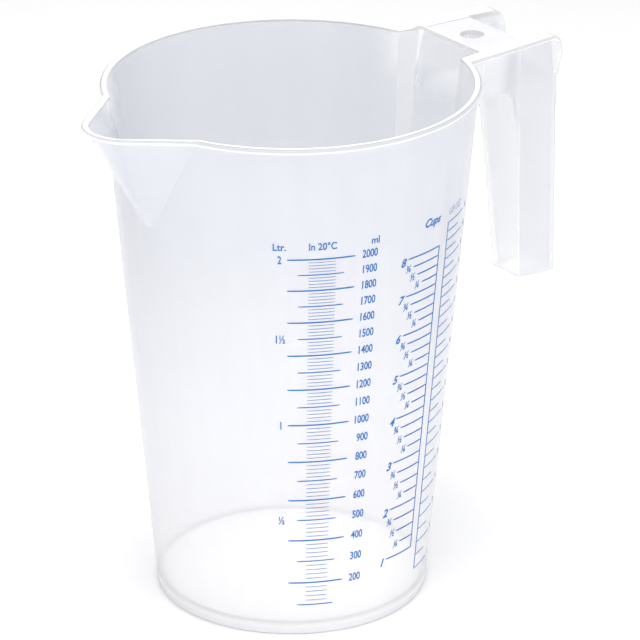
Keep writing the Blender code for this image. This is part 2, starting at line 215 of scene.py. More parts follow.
ARC_STEPS = 64
NOSE_STEPS = 16
SIDE_STEPS = 10
EDGE_STEPS = 8
BEAD_STEPS = 12
ARCH_STEPS = 28
CORNER_STEPS = 14
LIP_EDGE_STEPS = 8
LIP_CORNER_STEPS = 12
DISC_SHARES = (0.25, 0.6, 0.9)
PLAIN_HEIGHTS = [0.012 + 0.0145 * i for i in range(12)]
LIP_RISES = (-0.0010, 0.0, 0.0006, 0.0016, 0.0032, 0.0056, 0.0090, 0.0135)
UPPER_HEIGHTS = [0.1930, 0.1985, 0.2040, 0.2090, 0.2130]


def bay_points(z, grow):
    """Back wall and side wall of the bay, from its middle out to the cone."""
    drop = RIM_Z - z
    radius = wall_radius(z) + grow
    side = BAY_HALF_WIDTH - BAY_WIDTH_SLOPE * drop + grow
    corner = side - BAY_SIDE_DRAFT
    back = BAY_BACK - BAY_BACK_SLOPE * drop + grow
    points = []
    for share in (0.0, 0.25, 0.5, 0.75, 1.0):
        y = (corner - BAY_ROUNDING) * share
        points.append((max(back, math.sqrt(radius**2 - y**2)), y))
    for angle in (30, 60, 90):
        y = corner - BAY_ROUNDING * (1 - math.sin(math.radians(angle)))
        x = back - BAY_ROUNDING * (1 - math.cos(math.radians(angle)))
        points.append((max(x, math.sqrt(radius**2 - y**2)), y))
    points.append((math.sqrt(radius**2 - side**2), side))
    return points


def lip_points(z, grow):
    """One side of the pouring lip, from its fold on the cone round to its nose."""
    radius = wall_radius(z) + grow
    height = z - LIP_FOOT_Z
    if height < 0.0:
        start = math.pi - LIP_FOOT_HALF_WIDTH / radius
        steps = SIDE_STEPS + NOSE_STEPS
        angles = [between(start, math.pi, i / steps) for i in range(steps + 1)]
        return [(radius * math.cos(a), radius * math.sin(a)) for a in angles]
    nose = between(*LIP_NOSE_RADII, height / (RIM_Z - LIP_FOOT_Z))
    centre = LIP_REACH - LIP_KEEL_SLOPE * (RIM_Z - z) - nose
    fold_y = LIP_FOOT_HALF_WIDTH + LIP_FOLD_SLOPE * height
    fold_x = math.sqrt(wall_radius(z) ** 2 - fold_y**2)
    to_centre = math.hypot(centre - fold_x, fold_y)
    slant = math.atan2(fold_y, centre - fold_x) - math.asin(nose / to_centre)
    nose += grow
    touch = Vector((centre + nose * math.sin(slant), nose * math.cos(slant)))
    along = Vector((math.cos(slant), -math.sin(slant)))
    dot = touch.dot(along)
    root = math.sqrt(dot**2 - touch.length_squared + radius**2)
    fold = touch - along * (dot - root if root < dot else dot + root)
    points = []
    for i in range(SIDE_STEPS):
        spot = fold.lerp(touch, i / SIDE_STEPS)
        points.append((-spot.x, spot.y))
    for x, y in arc_points((centre, 0.0), nose, 90 - math.degrees(slant), 0.0, NOSE_STEPS):
        points.append((-x, y))
    return points


def vessel_outline(z, grow=0.0):
    """The vessel's outline at a height, moved outwards by grow."""
    bay = bay_points(z, grow)
    lip = lip_points(z, grow)
    radius = wall_radius(z) + grow
    start = math.atan2(bay[-1][1], bay[-1][0])
    end = math.atan2(lip[0][1], lip[0][0])
    angles = [between(start, end, i / ARC_STEPS) for i in range(1, ARC_STEPS)]
    arc = [(radius * math.cos(a), radius * math.sin(a)) for a in angles]
    return mirrored(bay + arc + lip)


def wall_heights(low, high):
    """Heights of the wall's rings, closer together where the pouring lip grows."""
    lip_heights = [LIP_FOOT_Z + rise for rise in LIP_RISES]
    return [z for z in sorted(PLAIN_HEIGHTS + lip_heights + UPPER_HEIGHTS) if low < z < high]


def vessel_rings():
    """Rings from the foot over the rim bead down to the floor, and where the inside starts."""
    foot_round = arc_points((0.0, 0.0), FOOT_ROUNDING, -90, 0, EDGE_STEPS)
    bead_round = arc_points((0.0, 0.0), BEAD_OVERHANG, -50, 80, BEAD_STEPS)
    floor_round = arc_points((0.0, 0.0), FLOOR_FILLET, 180, 270, EDGE_STEPS)
    path = list(FOOT_RING)
    path += [(FOOT_ROUNDING + dz, -FOOT_ROUNDING + dg) for dg, dz in foot_round]
    path += [(z, 0.0) for z in wall_heights(OUTER_WALL_FOOT_Z, WALL_TOP_Z)]
    path += [(RIM_Z - drop, grow) for drop, grow in UNDER_BEAD]
    path += [(RIM_Z - BEAD_OVERHANG + dz, dg) for dg, dz in bead_round]
    path += [(RIM_Z - drop, grow) for drop, grow in OVER_BEAD]
    inside = len(path)
    path.append((RIM_Z - INSIDE_DROP, -WALL))
    path += [(z, -WALL) for z in wall_heights(INNER_WALL_FOOT_Z, WALL_TOP_Z)[::-1]]
    path += [(FLOOR_Z + FLOOR_FILLET + dz, -WALL - FLOOR_FILLET - dg) for dg, dz in floor_round]
    return [ring_at(vessel_outline(z, grow), z) for z, grow in path], inside


def disc_rings(ring, z, shares):
    """Rings inside a ring, for a flat disc."""
    return [[(x * share, y * share, z) for x, y, _ in ring] for share in shares]


def vessel_mesh(outer_look, inner_look):
    """The vessel, with its second look on the faces from the rim's inner edge to the floor."""
    rings, inside = vessel_rings()
    under = disc_rings(rings[0], FOOT_RECESS, DISC_SHARES)
    floor = disc_rings(rings[-1], FLOOR_Z, DISC_SHARES[::-1])
    bm = loft(under + rings + floor)
    first = (len(under) + inside) * len(rings[0])
    bm.verts.index_update()
    for face in bm.faces:
        if min(vert.index for vert in face.verts) >= first:
            face.material_index = 1
    vessel = new_object("jug_moulding", bm, outer_look)
    vessel.data.materials.append(inner_look)
    return vessel


# ---------------------------------------------------------------- the handle


def handle_section(z):
    """Front face, half width there, back face and half width there, at a height."""
    for low, high in zip(HANDLE_STATIONS, HANDLE_STATIONS[1:]):
        if z <= high[0] or high is HANDLE_STATIONS[-1]:
            share = (z - low[0]) / (high[0] - low[0])
            return [between(a, b, share) for a, b in zip(low[1:], high[1:])]


def arm_outline(z, grow=0.0):
    front, front_half, back, back_half = handle_section(z)
    front, back = front - grow, back + grow
    front_half, back_half = front_half + grow, back_half + grow
    sharpening = min(1.0, max(0.0, (z - BACK_WALL_TOP_Z) / ARM_SHARPENING_HEIGHT))
    radius = max(SMALLEST_ROUNDING, between(*ARM_BACK_ROUNDINGS, sharpening) + grow)
    nick = ARM_FRONT_ROUNDING if grow == 0.0 else ARM_HOLLOW_ROUNDING
    half = [(front, 0.0)]
    half += arc_points((front + nick, front_half - nick), nick, 180, 100, EDGE_STEPS)
    half += arc_points((back - radius, back_half - radius), radius, 86, 0, EDGE_STEPS)
    return mirrored(half + [(back, 0.0)])


def shoulder_outline(z, inset, reach):
    """The box between bay and arm, whose sides are the flanges, ending reach inside the arm."""
    front, front_half = handle_section(z)[:2]
    root_half = SHOULDER_HALF_WIDTH - SHOULDER_WIDTH_SLOPE * (RIM_Z - z) - inset
    root = wall_radius(z) - SHOULDER_ROOT_DEPTH - inset
    end = front + reach
    return mirrored([(root, 0.0), (root, root_half), (end, front_half - inset), (end, 0.0)])


def tool(name, rings):
    return new_object(name, loft(rings), None)


def sideways(profile, half_width):
    return [[(x, y, z) for x, z in profile] for y in (-half_width, half_width)]


def finger_gap_profile():
    low = SHOULDER_FOOT_Z - FINGER_GAP_DROP
    arch = arc_points(ARCH_CENTRE, ARCH_RADIUS, 150, 30, ARCH_STEPS)
    left, right = FINGER_GAP_START_X, handle_section(low)[0] - FRONT_STEP
    return [(left, low), (left, arch[0][1])] + arch + [(right, low)]


def flange_face(x, z):
    """How far the outside of a flange is from the XZ plane."""
    front, front_half, back, back_half = handle_section(z)
    if x < front:
        root = wall_radius(z) - SHOULDER_ROOT_DEPTH
        root_half = SHOULDER_HALF_WIDTH - SHOULDER_WIDTH_SLOPE * (RIM_Z - z)
        return between(root_half, front_half, (x - root) / (front - root))
    return between(front_half, back_half, min(1.0, (x - front) / (back - front)))


def corner_centre():
    return (FLANGE_FREE_EDGE[1] - FLANGE_CORNER_RADIUS, RIM_Z - FLANGE_CORNER_RADIUS)


def flange_corner_profile():
    """Cut off behind the flanges' free edges and round their top corners, seen from the side."""
    centre = corner_centre()
    foot = BACK_WALL_TOP_Z + FLANGE_STEP
    low_end, end = (x - SKIN_STEP for x in FLANGE_FREE_EDGE)
    arc = arc_points(centre, FLANGE_CORNER_RADIUS - SKIN_STEP, 90, 0, CORNER_STEPS)
    return (
        [(centre[0], RIM_Z + FAR_BEYOND)]
        + arc
        + [(low_end, foot), (end + FAR_BEYOND, foot), (end + FAR_BEYOND, RIM_Z + FAR_BEYOND)]
    )


def flange_lip_path():
    """Points (x, z, angle) along a flange's top edge, round its corner and down its free edge."""
    centre = corner_centre()
    foot = BACK_WALL_TOP_Z + FLANGE_STEP
    path = []
    for i in range(LIP_EDGE_STEPS):
        x = between(FLANGE_LIP_START_X, centre[0], i / LIP_EDGE_STEPS)
        path.append((x, RIM_Z, 90.0))
    for i in range(LIP_CORNER_STEPS + 1):
        angle = between(90.0, 0.0, i / LIP_CORNER_STEPS)
        spot = arc_points(centre, FLANGE_CORNER_RADIUS, angle, angle, 1)[0]
        path.append((*spot, angle))
    for z in FREE_EDGE_HEIGHTS + (foot + FOOT_STEP,):
        x = between(*FLANGE_FREE_EDGE, (z - foot) / (centre[1] - foot))
        path.append((x, z, 0.0))
    return path


def flange_lip_rings(side):
    """The lip turned outwards along a flange's edges, narrower towards its foot."""
    rings = []
    for x, z, angle in flange_lip_path():
        fade = min(1.0, (z - FLANGE_LIP_FOOT_Z) / (FLANGE_LIP_FULL_Z - FLANGE_LIP_FOOT_Z))
        face = flange_face(x, z)
        outer = face + FLANGE_LIP * fade
        inner = face - FLANGE_LIP_ROOT
        depth = FLANGE_LIP_THICKNESS
        edge = min(FLANGE_LIP_ROUNDING, (outer - inner) * 0.4)
        section = [(inner, -depth)]
        section += arc_points((outer - edge, -depth + edge), edge, -90, 0, EDGE_STEPS)
        section += arc_points((outer - edge, -edge), edge, 0, 90, EDGE_STEPS)
        section.append((inner, 0.0))
        out_x, out_z = math.cos(math.radians(angle)), math.sin(math.radians(angle))
        rings.append([(x + out_x * up, side * y, z + out_z * up) for y, up in section])
    return rings


def circle(x, radius, z, count=48):
    angles = [2 * math.pi * (i + 0.5) / count for i in range(count)]
    return [(x + radius * math.cos(a), radius * math.sin(a), z) for a in angles]


ARM_FOOT_Z = HANDLE_STATIONS[0][0]
ARM_HEIGHTS = [ARM_FOOT_Z, 0.1300, 0.1550, 0.1780, 0.1910, BACK_WALL_TOP_Z, 0.2000, 0.2020, 0.2050]
SHOULDER_HEIGHTS = [0.1850, 0.1910, BACK_WALL_TOP_Z, 0.2050]
BELOW_ARM_Z = 0.1040
TRIM_FOOT_Z = 0.100
TRIM_WALL_Z = (0.11, RIM_Z - 0.003)
HANG_HOLE_FOOT_Z = 0.21


def shoulder(name, heights, inset, reach):
    rings = [ring_at(shoulder_outline(min(z, RIM_Z), inset, reach), z) for z in heights]
    return tool(name, rings)


def cutter(name, profile):
    return tool(name, sideways(profile, CUTTER_HALF_WIDTH))


def add_handle_to(vessel):
    """Cuts the handle from a solid arm and shoulder, and joins it to the vessel's wall."""
    top = RIM_Z + BEYOND
    skin_top = RIM_Z - SKIN_STEP
    bridge_top = RIM_Z - BRIDGE_DROP
    arm = tool("arm", [ring_at(arm_outline(z), z) for z in ARM_HEIGHTS + [skin_top]])

    hollow_heights = [BELOW_ARM_Z] + ARM_HEIGHTS[1:] + [top]
    hollow = [ring_at(arm_outline(z, -HANDLE_WALL), z) for z in hollow_heights]
    # The shoulder's hollow runs on down past the arm, so that it leaves no step on the arm's front.
    below_shoulder = [BELOW_ARM_Z] + ARM_HEIGHTS[:4]
    shoulder_hollow = below_shoulder + SHOULDER_HEIGHTS + [bridge_top - BRIDGE_THICKNESS]
    near, far = BACK_OPENING_X
    half = handle_section(BACK_WALL_TOP_Z)[3] - HANDLE_WALL
    slot = [(near, half), (far, half), (far, -half), (near, -half)]
    trim_heights = [TRIM_FOOT_Z] + wall_heights(*TRIM_WALL_Z) + [top]
    trim = [ring_at(vessel_outline(min(z, RIM_Z), -WALL * 0.5), z) for z in trim_heights]
    hole = [circle(HANG_HOLE_X, HANG_HOLE_RADIUS, z) for z in (HANG_HOLE_FOOT_Z, top)]
    solid = [SHOULDER_FOOT_Z] + SHOULDER_HEIGHTS + [skin_top]
    combine(arm, [
        (cutter("flange_corner", flange_corner_profile()), "DIFFERENCE"),
        (shoulder("shoulder", solid, 0.0, JOIN_DEPTH), "UNION"),
        (tool("arm_hollow", hollow), "DIFFERENCE"),
        (shoulder("shoulder_hollow", shoulder_hollow, HANDLE_WALL, HOLLOW_REACH), "DIFFERENCE"),
        (shoulder("bridge_dish", [bridge_top, top], DISH_INSET, BEYOND), "DIFFERENCE"),
        (tool("back_opening", [ring_at(slot, BACK_WALL_TOP_Z), ring_at(slot, top)]), "DIFFERENCE"),
        (cutter("finger_gap", finger_gap_profile()), "DIFFERENCE"),
        (tool("flange_lip_near", flange_lip_rings(-1)), "UNION"),
        (tool("flange_lip_far", flange_lip_rings(1)), "UNION"),
        (tool("bay_trim", trim), "DIFFERENCE"),
        (tool("hang_hole", hole), "DIFFERENCE"),
    ])
    combine(vessel, [(arm, "UNION")])


# ---------------------------------------------------------------- the printed scales

INK_LIFT = 0.00003
INK_THICKNESS = 0.00004
LINE_WIDTH = 0.00062
MEDIUM_LINE_WIDTH = 0.00048
FINE_LINE_WIDTH = 0.00030
MILLILITRE = 1e-6
CUP = 236.588
OUNCE = 29.5735
# Bearings are in degrees from the handle, and a mark is a pair of them.
LONG_MARK = (-128.2, -106.2)
MEDIUM_MARK = (-124.8, -109.8)
FINE_MARK = (-121.4, -112.5)
LONG_VOLUMES = range(200, 2001, 200)
MEDIUM_VOLUMES = range(100, 2000, 200)
FINE_VOLUMES = range(120, 2000, 20)
NUMBERED_VOLUMES = range(200, 2001, 100)
ML_NUMERAL_EDGE = -98.3
ML_NUMERAL_LIFT = 0.0002
LITRE_NUMERALS = (("2", 2000), ("1\u00bd", 1500), ("1", 1000), ("\u00bd", 500))
LITRE_NUMERAL_MIDDLE = -130.6
CUP_RULE = -70.3
CUP_MARK_STARTS = (-85.8, -78.7, -81.2, -83.3)
CUP_NUMERAL_MIDDLE = -88.0
CUP_NUMERAL_DROP = 0.0010
CUP_NUMERAL_STYLE = {"height": 0.0035, "narrow": 0.92, "lean": 0.3, "bold": 0.03}
FRACTIONS = "\u00bc\u00bd\u00be"
FRACTION_GAP = 2.3
FRACTION_DROP = 0.0003
FRACTION_STYLE = {"height": 0.0031, "narrow": 0.8, "lean": 0.25, "bold": 0.022}
OUNCE_RULE = -65.5
OUNCE_MARK_ENDS = (-51.9, -56.9)
OUNCE_NUMERAL_MIDDLE = -49.2
OUNCE_NUMERAL_LIFT = 0.0006
OUNCE_NUMERAL_STYLE = {"height": 0.0025, "narrow": 0.62, "bold": 0.0}
HEADING_Z = 0.1762
HEADINGS = (
    ("Ltr.", LITRE_NUMERAL_MIDDLE, {"height": 0.0030, "narrow": 0.9}),
    ("In 20\u00b0C", -116.9, {"height": 0.0030, "narrow": 0.85}),
    ("ml", -99.3, {"height": 0.0030, "narrow": 0.9}),
    ("Cups", -75.4, {"height": 0.0034, "narrow": 1.0, "lean": 0.35, "bold": 0.03}),
)
OUNCE_HEADING = ("US OZ", -61.2, {"height": 0.0029, "narrow": 0.95, "lean": 0.3, "bold": 0.0})
NUMERAL_HEIGHT = 0.0034
FONT_CAP_HEIGHT = 0.70
DEGREES_PER_STEP = 1.5
UPRIGHT_STEPS = 12
LINE_END_SHARE = 0.7


def height_of(millilitres):
    """Height of the surface of a volume, from the volume of the hollow cone."""
    floor_radius = wall_radius(FLOOR_Z) - WALL
    cube = floor_radius**3 + 3 * TAPER * millilitres * MILLILITRE / math.pi
    return FLOOR_Z + (cube ** (1 / 3) - floor_radius) / TAPER


def on_wall(bearing, z, depth):
    """A point on the outside of the wall, with depth 0 or 1 for the ink's inner or outer face."""
    radius = wall_radius(z) + INK_LIFT + INK_THICKNESS * depth
    angle = math.radians(bearing)
    return (radius * math.cos(angle), radius * math.sin(angle), z)


def join_rows(bm, rows):
    """A closed solid through rows of four corners."""
    for first, second in zip(rows, rows[1:]):
        for i in range(4):
            j = (i + 1) % 4
            bm.faces.new((first[i], first[j], second[j], second[i]))
    bm.faces.new(rows[0][::-1])
    bm.faces.new(rows[-1])


def add_line(bm, z, start, end, width):
    """A line round the wall, with ends a little narrower than its middle."""
    steps = max(3, round(abs(end - start) / DEGREES_PER_STEP))
    rows = []
    for i in range(steps + 1):
        half = width / 2 * (LINE_END_SHARE if i in (0, steps) else 1.0)
        bearing = between(start, end, i / steps)
        spots = ((z - half, 0), (z + half, 0), (z + half, 1), (z - half, 1))
        rows.append([bm.verts.new(on_wall(bearing, height, depth)) for height, depth in spots])
    join_rows(bm, rows)


def add_upright(bm, bearing, low, high, width):
    """A line up the wall."""
    rows = []
    for i in range(UPRIGHT_STEPS + 1):
        z = between(low, high, i / UPRIGHT_STEPS)
        half = math.degrees(width / 2 / wall_radius(z))
        spots = ((bearing - half, 0), (bearing + half, 0), (bearing + half, 1), (bearing - half, 1))
        rows.append([bm.verts.new(on_wall(turn, z, depth)) for turn, depth in spots])
    join_rows(bm, rows)


def add_text(bm, text, bearing, middle, height, narrow=0.70, lean=0.0, bold=0.022, align="CENTER"):
    """Printed characters wrapped on the wall."""
    curve = bpy.data.curves.new("lettering", "FONT")
    curve.body = text
    curve.align_x = align
    curve.resolution_u = 4
    curve.extrude = 0.5
    curve.offset = bold
    curve.shear = lean
    holder = bpy.data.objects.new("lettering", curve)
    bpy.context.scene.collection.objects.link(holder)
    bpy.context.view_layer.update()
    graph = bpy.context.evaluated_depsgraph_get()
    mesh = bpy.data.meshes.new_from_object(holder.evaluated_get(graph))
    bpy.data.objects.remove(holder)
    bpy.data.curves.remove(curve)
    flat = bmesh.new()
    flat.from_mesh(mesh)
    bmesh.ops.remove_doubles(flat, verts=flat.verts, dist=1e-5)
    scale = height / FONT_CAP_HEIGHT
    for vert in flat.verts:
        z = middle + (vert.co.y - FONT_CAP_HEIGHT / 2) * scale
        turn = math.degrees(vert.co.x * narrow * scale / wall_radius(z))
        vert.co = on_wall(bearing + turn, z, vert.co.z + 0.5)
    flat.to_mesh(mesh)
    flat.free()
    bm.from_mesh(mesh)
    bpy.data.meshes.remove(mesh)


def print_piece(name, bm, look, replaced=()):
    bmesh.ops.recalc_face_normals(bm, faces=bm.faces)
    made = new_object(name, bm, look)
    made.location.x = AXIS_X
    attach(made, "root")
    if replaced:
        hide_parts(*replaced)


def mark_names(volumes):
    return [f"ml_mark_{ml:04d}" for ml in volumes]


def add_litre_scale(bold_ink, fine_ink):
    lines, mediums, fines, numerals, litres = (bmesh.new() for _ in range(5))
    for ml in LONG_VOLUMES:
        add_line(lines, height_of(ml), *LONG_MARK, LINE_WIDTH)
    for ml in MEDIUM_VOLUMES:
        add_line(mediums, height_of(ml), *MEDIUM_MARK, MEDIUM_LINE_WIDTH)
    for ml in FINE_VOLUMES:
        if ml % 100:
            add_line(fines, height_of(ml), *FINE_MARK, FINE_LINE_WIDTH)
    for ml in NUMBERED_VOLUMES:
        middle = height_of(ml) + ML_NUMERAL_LIFT
        add_text(numerals, str(ml), ML_NUMERAL_EDGE, middle, NUMERAL_HEIGHT, align="RIGHT")
    for text, ml in LITRE_NUMERALS:
        add_text(litres, text, LITRE_NUMERAL_MIDDLE, height_of(ml), NUMERAL_HEIGHT)
    print_piece("litre_lines", lines, bold_ink, mark_names(LONG_VOLUMES))
    print_piece("ml_lines_medium", mediums, bold_ink, mark_names(MEDIUM_VOLUMES))
    print_piece("ml_lines_fine", fines, fine_ink)
    print_piece("ml_numerals", numerals, bold_ink)
    print_piece("litre_numerals", litres, bold_ink, ["litre_numeral_1", "litre_numeral_2"])


def add_cup_scale(ink):
    """Marks at every quarter of a cup from 1 to 8 cups, joined by an upright rule."""
    comb, numerals, fractions = (bmesh.new() for _ in range(3))
    for quarters in range(4, 33):
        z = height_of(quarters * CUP / 4)
        cups, part = divmod(quarters, 4)
        start = CUP_MARK_STARTS[part]
        add_line(comb, z, start, CUP_RULE, LINE_WIDTH)
        if part:
            text, bearing = FRACTIONS[part - 1], start - FRACTION_GAP
            add_text(fractions, text, bearing, z - FRACTION_DROP, **FRACTION_STYLE)
        else:
            middle = z - CUP_NUMERAL_DROP
            add_text(numerals, str(cups), CUP_NUMERAL_MIDDLE, middle, **CUP_NUMERAL_STYLE)
    half = LINE_WIDTH / 2
    add_upright(comb, CUP_RULE, height_of(CUP) - half, height_of(8 * CUP) + half, LINE_WIDTH)
    print_piece("cup_lines", comb, ink, ["cup_scale"])
    print_piece("cup_numerals", numerals, ink, [f"cup_numeral_{cups}" for cups in range(1, 9)])
    print_piece("cup_fractions", fractions, ink)


def add_ounce_scale(ink, faint_ink):
    """Marks at every second ounce from 4 to 68 ounces, joined by an upright rule."""
    comb, numerals = bmesh.new(), bmesh.new()
    for ounces in range(4, 69, 2):
        z = height_of(ounces * OUNCE)
        add_line(comb, z, OUNCE_RULE, OUNCE_MARK_ENDS[ounces // 2 % 2], MEDIUM_LINE_WIDTH)
        if ounces % 4 == 0:
            middle = z + OUNCE_NUMERAL_LIFT
            add_text(numerals, str(ounces), OUNCE_NUMERAL_MIDDLE, middle, **OUNCE_NUMERAL_STYLE)
    half = MEDIUM_LINE_WIDTH / 2
    low, high = height_of(4 * OUNCE) - half, height_of(68 * OUNCE) + half
    add_upright(comb, OUNCE_RULE, low, high, LINE_WIDTH)
    print_piece("ounce_lines", comb, ink, ["ounce_scale"])
    print_piece("ounce_numerals", numerals, faint_ink)


def add_headings(ink, faint_ink):
    words, ounces = bmesh.new(), bmesh.new()
    for text, bearing, style in HEADINGS:
        add_text(words, text, bearing, HEADING_Z, **style)
    text, bearing, style = OUNCE_HEADING
    add_text(ounces, text, bearing, HEADING_Z, **style)
    print_piece("scale_headings", words, ink)
    print_piece("ounce_heading", ounces, faint_ink)


# ---------------------------------------------------------------- camera, floor and light

LENS = 266.3
CAMERA_TURN = math.radians(36.9)
CAMERA_BACK = 1.7668
CAMERA_HEIGHT = 0.8793
CAMERA_YAW = math.radians(0.38)
CAMERA_PITCH = math.radians(23.40)
CAMERA_ROLL = math.radians(0.07)
TENT_SIDE = (0.95, 0.955, 0.97)
TENT_TOP = (0.20, 0.205, 0.215)
TENT_SPAN = (0.05, 0.75)
FLOOR_TINTS = ((0.95, 0.95, 0.955), (0.97, 0.97, 0.972))
FLOOR_SINK = 0.0002
LAMPS = (
    # name, place, target, size, power, colour
    ("overhead", (-0.05, -0.05, 1.6), (0, 0, 0), 1.3, 27.0, (1.0, 0.995, 0.985)),
    ("key", (-1.9, -1.7, 0.55), (0, 0, 0.1), 1.2, 18.0, (1.0, 0.995, 0.99)),
    ("fill", (1.1, -2.3, 0.45), (0, 0, 0.1), 1.2, 10.0, (1.0, 0.995, 0.99)),
)


def add_camera():
    data = bpy.data.cameras.new("camera")
    data.lens = LENS
    data.sensor_width = 36.0
    data.clip_start, data.clip_end = 0.1, 50.0
    camera = bpy.data.objects.new("camera", data)
    bpy.context.scene.collection.objects.link(camera)
    heading = -CAMERA_TURN - CAMERA_YAW
    look = Matrix.Rotation(heading, 4, "Z") @ Matrix.Rotation(math.pi / 2 - CAMERA_PITCH, 4, "X")
    camera.matrix_world = (
        Matrix.Translation((
            AXIS_X - CAMERA_BACK * math.sin(CAMERA_TURN),
            -CAMERA_BACK * math.cos(CAMERA_TURN),
            CAMERA_HEIGHT,
        ))
        @ look
        @ Matrix.Rotation(CAMERA_ROLL, 4, "Z")
    )
    bpy.context.scene.camera = camera


def stage_material():
    made = bpy.data.materials.new("stage_white")
    made.use_nodes = True
    nodes, links = made.node_tree.nodes, made.node_tree.links
    shader = nodes["Principled BSDF"]
    shader.inputs["Roughness"].default_value = 0.6
    shader.inputs["Specular IOR Level"].default_value = 0.2
    noise = nodes.new("ShaderNodeTexNoise")
    noise.inputs["Scale"].default_value = 3.0
    ramp = nodes.new("ShaderNodeValToRGB")
    for end, tint in zip(ramp.color_ramp.elements, FLOOR_TINTS):
        end.color = (*tint, 1)
    links.new(noise.outputs["Fac"], ramp.inputs["Fac"])
    links.new(ramp.outputs["Color"], shader.inputs["Base Color"])
    return made


def add_stage():
    bm = bmesh.new()
    bmesh.ops.create_grid(bm, x_segments=2, y_segments=2, size=6.0)
    floor = new_object("floor", bm, stage_material())
    floor.location.z = -FLOOR_SINK


def add_area(name, place, target, size, power, colour):
    data = bpy.data.lights.new(name, "AREA")
    data.shape = "DISK"
    data.size = size
    data.energy = power
    data.color = colour
    lamp = bpy.data.objects.new(name, data)
    bpy.context.scene.collection.objects.link(lamp)
    lamp.location = place
    lamp.rotation_euler = (Vector(target) - Vector(place)).to_track_quat("-Z", "Y").to_euler()


def add_lights():
    """A softly lit tent: pale near the horizon and darker overhead, with three soft lamps."""
    world = bpy.data.worlds.new("studio")
    world.use_nodes = True
    nodes, links = world.node_tree.nodes, world.node_tree.links
    background = nodes["Background"]
    place = nodes.new("ShaderNodeTexCoord")
    axes = nodes.new("ShaderNodeSeparateXYZ")
    ramp = nodes.new("ShaderNodeValToRGB")
    for end, position, tint in zip(ramp.color_ramp.elements, TENT_SPAN, (TENT_SIDE, TENT_TOP)):
        end.position = position
        end.color = (*tint, 1)
    links.new(place.outputs["Generated"], axes.inputs["Vector"])
    links.new(axes.outputs["Z"], ramp.inputs["Fac"])
    links.new(ramp.outputs["Color"], background.inputs["Color"])
    background.inputs["Strength"].default_value = 1.0
    bpy.context.scene.world = world
    for lamp in LAMPS:
        add_area(*lamp)


# ---------------------------------------------------------------- materials


# Colours of the upper wall, the lower wall and the floor (painted light: lighter towards the
# floor), how opaque a wall is and how much more so along its length, how far the rim's painted
# highlight and shade lines reach down, and the painted shade ring's heights and its grey.
Plastic = namedtuple("Plastic", "upper lower floor opacity grazing rim_depth ring_z ring_grey")
# Painted light: the outside's colours lighten from the upper wall down to the floor.
OUTSIDE = Plastic(
    upper=(0.87, 0.88, 0.92),
    lower=(0.94, 0.935, 0.945),
    floor=(0.96, 0.95, 0.94),
    opacity=0.42,
    grazing=0.50,
    rim_depth=0.0027,
    ring_z=(-0.001, 0.0028),
    ring_grey=0.75,
)
# Painted shade: the inside is a darker copy of the same plastic, and its colours also lighten from
# the upper wall down to the floor as painted light.
INSIDE = Plastic(
    upper=(0.43, 0.46, 0.54),
    lower=(0.86, 0.855, 0.88),
    floor=(0.98, 0.975, 0.96),
    opacity=0.32,
    grazing=0.18,
    rim_depth=0.0007,
    ring_z=(0.0030, 0.0050),
    ring_grey=0.55,
)
# Painted shade on the handle's sides and painted light on its front.
HANDLE_SIDE_SHADE_TINT = (0.68, 0.69, 0.73)
HANDLE_FRONT_LIGHT_TINT = (0.95, 0.95, 0.96)
# Painted light beside the pouring lip's far fold.
FOLD_LIGHT_TINT = (0.96, 0.96, 0.97)
# Painted light on the bay's walls.
BAY_LIGHT_TINT = (0.95, 0.95, 0.97)
# Painted highlight: a white line along the bay's corner.
BAY_CORNER_HIGHLIGHT_TINT = (1.0, 1.0, 1.0)
# Painted shade on the bridge's dished top.
BRIDGE_SHADE_TINT = (0.69, 0.69, 0.725)
OUTLINE_TINT = (0.62, 0.64, 0.68)
RIM_HIGHLIGHT_AND_SHADE_BANDS = (
    # turn from underneath (0) over the top (0.5) to the inside (1), and the grey there, pale for
    # painted highlights and dark for painted shade
    (0.19, 0.98),
    (0.26, 0.66),
    (0.42, 0.60),
    (0.465, 0.42),
    (0.488, 0.42),
    (0.497, 0.94),
    (0.54, 0.94),
    (0.58, 0.50),
)

# Spans over which a mask rises from 0 to 1. These run along one part of a face's normal.
TO_SIDE = (0.5, 0.8)
TO_VESSEL = (-0.5, -0.8)
TO_WALL = (0.8, 0.5)
TO_TOP = (0.95, 0.99)
OUTER_SIDE = (-0.002, 0.002)
OUTER_RIM = (-0.004, 0.004)
# These run along the jug, across it or up it, in metres.
LOW_WALL = (0.170, 0.015)
NEAR_FLOOR = (0.0060, 0.0034)
RING_EDGES = (0.0006, 0.0010)
HANDLE_START = (0.093, 0.098)
UNDER_ARM_TOP = (0.200, 0.196)
FOLD_ALONG, FOLD_ACROSS, FOLD_UP = (-0.045, -0.055), (0.024, 0.028), (0.172, 0.180)
BAY_SIDE_START, BAY_SIDE_END = (0.060, 0.064), (0.0835, 0.0815)
BAY_BACK_START, BAY_BACK_UP = (0.066, 0.070), (0.192, 0.206)
BESIDE_BAY_ALONG, BESIDE_BAY_ACROSS = (0.050, 0.056), (-0.016, -0.020)
BESIDE_BAY_UP = (0.150, 0.180)
BAY_END = (0.093, 0.090)
CORNER_LINE_UP, CORNER_LINE_ACROSS = (0.187, RIM_Z), (0.0196, 0.0161)
CORNER_WIDTH, CORNER_START, CORNER_END = (0.0, 0.0003), (0.072, 0.075), (0.084, 0.083)
RIM_EDGE = 0.0004
FLANGE_START = (0.078, 0.081)
BRIDGE_UP = (RIM_Z - 0.0002, RIM_Z - 0.0005)
# The part of the noise that counts as clouds and streaks.
CLOUD_SPAN = (0.35, 0.65)
CLOUD_SCALE, STREAK_SCALE, GRAIN_SCALE = 14.0, 60.0, 900.0
STREAK_STRETCH = (1, 1, 0.06)

